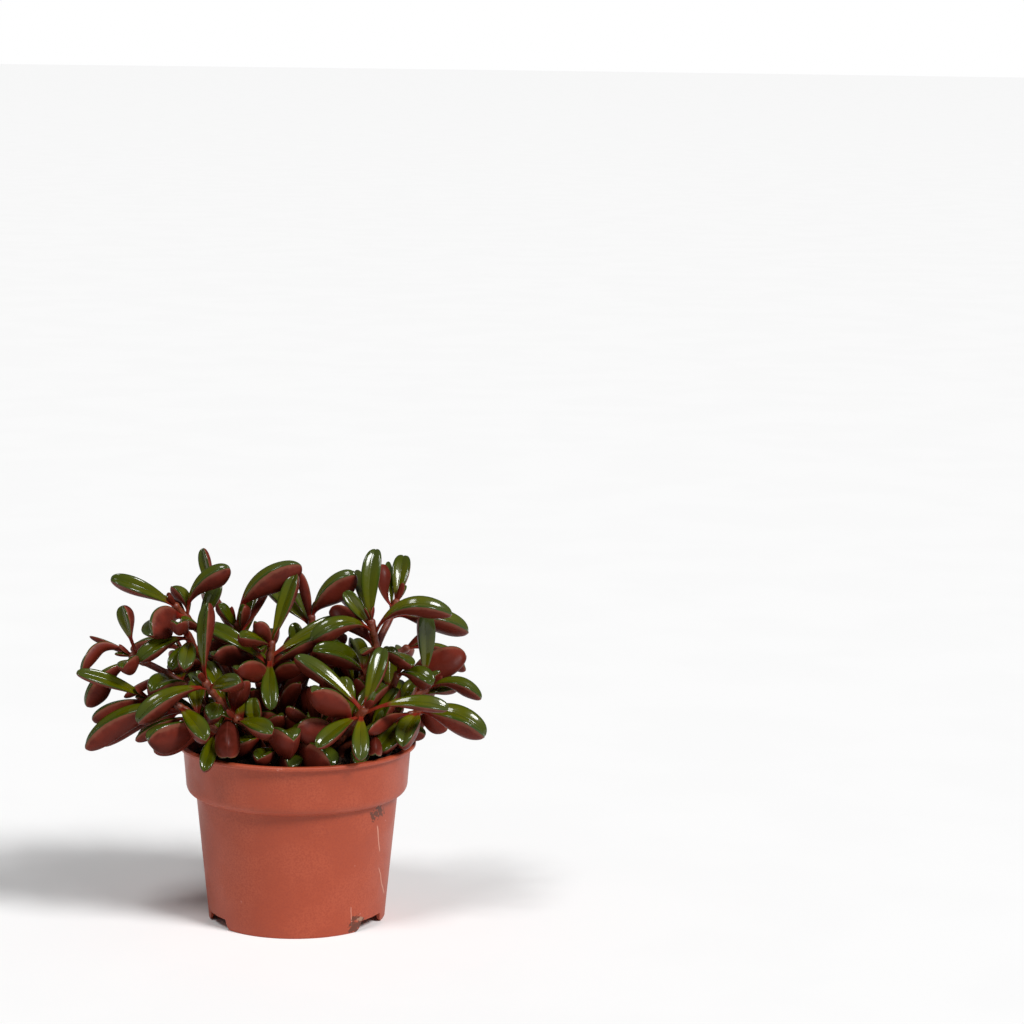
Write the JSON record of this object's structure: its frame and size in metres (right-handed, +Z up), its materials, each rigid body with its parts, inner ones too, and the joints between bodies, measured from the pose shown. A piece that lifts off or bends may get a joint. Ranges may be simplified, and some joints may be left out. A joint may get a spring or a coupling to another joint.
{
  "type": "potted succulent plant",
  "caption": "Bushy succulent with thick boat-shaped leaves, green above and maroon below, on branching stems in a round tapered plastic nursery pot filled with soil.",
  "frame": {"origin": "on the surface that the pot stands on, under the middle of the whole plant; the pot's axis is 6 mm towards +X, because the leaves reach further to the other side", "axes": "+Z up along the pot's axis, -Y towards the viewer of the picture, +X to that viewer's right"},
  "size_m": [0.202, 0.12, 0.187],
  "materials": {
    "pot_plastic": "satin terracotta-coloured moulded plastic with faint scuffs",
    "potting_soil": "dark, crumbly and matte, with a few pale fibres",
    "stem_skin": "smooth red-brown to orange, slightly waxy",
    "leaf_skin": "glossy olive green face with a pale margin, satin maroon keel"
  },
  "bodies": {
    "root": {"leaf_back_left_1": "leaf_skin", "leaf_back_middle_1": "leaf_skin", "leaf_back_side_left_1": "leaf_skin", "leaf_back_side_right_1": "leaf_skin", "leaf_far_left_1": "leaf_skin", "leaf_far_left_2": "leaf_skin", "leaf_far_left_3": "leaf_skin", "leaf_front_left_1": "leaf_skin", "leaf_front_left_2": "leaf_skin", "leaf_front_left_3": "leaf_skin", "leaf_front_low_1": "leaf_skin", "leaf_front_low_2": "leaf_skin", "leaf_front_right_1": "leaf_skin", "leaf_front_right_2": "leaf_skin", "leaf_front_right_3": "leaf_skin", "leaf_front_right_4": "leaf_skin", "leaf_inner_left_1": "leaf_skin", "leaf_inner_left_2": "leaf_skin", "leaf_low_left_1": "leaf_skin", "leaf_low_left_2": "leaf_skin", "leaf_low_right_1": "leaf_skin", "leaf_mid_left_1": "leaf_skin", "leaf_mid_left_2": "leaf_skin", "leaf_middle_1": "leaf_skin", "leaf_middle_2": "leaf_skin", "leaf_middle_3": "leaf_skin", "leaf_right_1": "leaf_skin", "leaf_right_2": "leaf_skin", "leaf_right_3": "leaf_skin", "leaf_right_inner_1": "leaf_skin", "leaf_rim_left_1": "leaf_skin", "leaf_rim_left_2": "leaf_skin", "leaf_rim_left_3": "leaf_skin", "leaf_rim_left_4": "leaf_skin", "leaf_top_middle_1": "leaf_skin", "leaf_top_middle_2": "leaf_skin", "leaf_top_right_1": "leaf_skin", "leaf_top_right_2": "leaf_skin", "leaf_upper_left_1": "leaf_skin", "leaf_upper_left_2": "leaf_skin", "leaf_upper_left_3": "leaf_skin", "leaf_upper_right_1": "leaf_skin", "leaf_upper_right_2": "leaf_skin", "leaf_upper_right_3": "leaf_skin", "leaf_upper_right_4": "leaf_skin", "pot": "pot_plastic", "soil": "potting_soil", "stem_back_left": "stem_skin", "stem_back_middle": "stem_skin", "stem_back_right": "stem_skin", "stem_front_left": "stem_skin", "stem_front_low": "stem_skin", "stem_front_right": "stem_skin", "stem_left": "stem_skin", "stem_low_right": "stem_skin", "stem_mid_left": "stem_skin", "stem_middle": "stem_skin", "stem_right": "stem_skin", "stem_upper_left": "stem_skin", "stem_upper_right": "stem_skin"}
  },
  "joints": []
}
